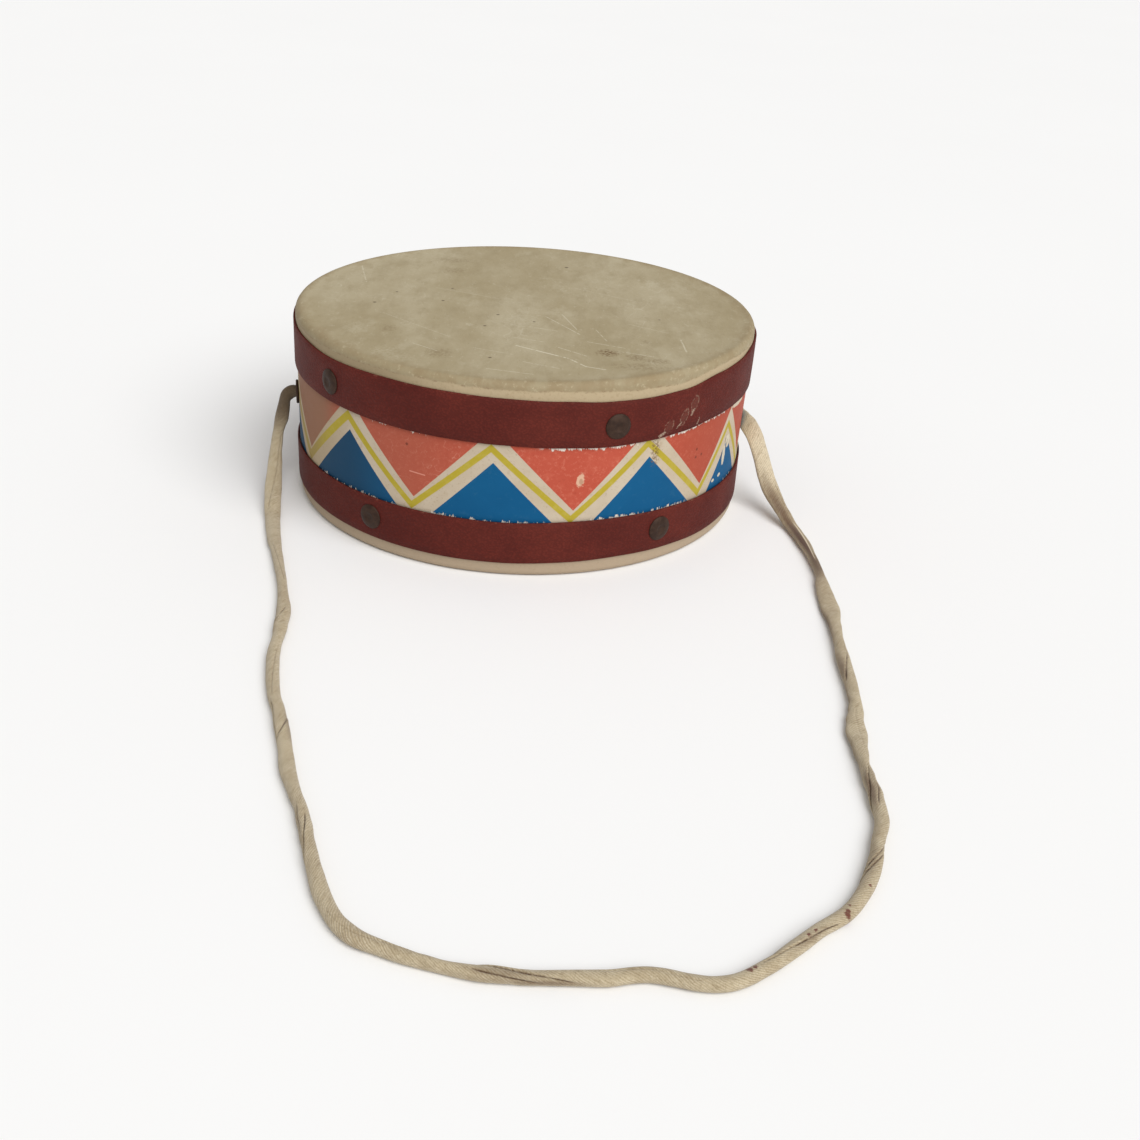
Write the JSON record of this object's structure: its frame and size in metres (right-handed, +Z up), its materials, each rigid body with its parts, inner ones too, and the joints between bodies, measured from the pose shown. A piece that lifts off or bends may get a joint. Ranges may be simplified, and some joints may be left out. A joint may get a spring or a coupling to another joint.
{
  "type": "toy side drum",
  "caption": "Shallow toy side drum: a wooden hoop with a printed zigzag wrap, skin heads under tacked leathercloth bands, and a cotton shoulder strap.",
  "frame": {"origin": "centre of the drum's underside, on the surface it stands on", "axes": "+Z up along the drum's axis; -Y towards the side where the strap's loop lies, +X to the right seen from there"},
  "size_m": [0.2352, 0.4259, 0.082],
  "materials": {
    "hoop_wood": "bare bent beech or poplar, matt",
    "printed_paper": "printed paper wrap in coral red, blue, yellow and cream, worn, low sheen",
    "head_skin": "aged parchment-like skin, matt, with a lighter worn edge",
    "leathercloth": "fine-grained maroon leathercloth, satin",
    "dark_steel": "tarnished dark steel",
    "strap_cotton": "woven cotton tape, unbleached, twisted into a cord"
  },
  "bodies": {
    "root": {"hoop": "hoop_wood", "paper_wrap": "printed_paper", "lower_head": "head_skin", "upper_head": "head_skin", "lower_band": "leathercloth", "upper_band": "leathercloth", "upper_tack_1": "dark_steel", "upper_tack_2": "dark_steel", "upper_tack_3": "dark_steel", "upper_tack_4": "dark_steel", "upper_tack_5": "dark_steel", "lower_tack_1": "dark_steel", "lower_tack_2": "dark_steel", "lower_tack_3": "dark_steel", "lower_tack_4": "dark_steel", "lower_tack_5": "dark_steel", "eyelet_left": "dark_steel", "eyelet_right": "dark_steel", "strap": "strap_cotton"}
  },
  "joints": []
}
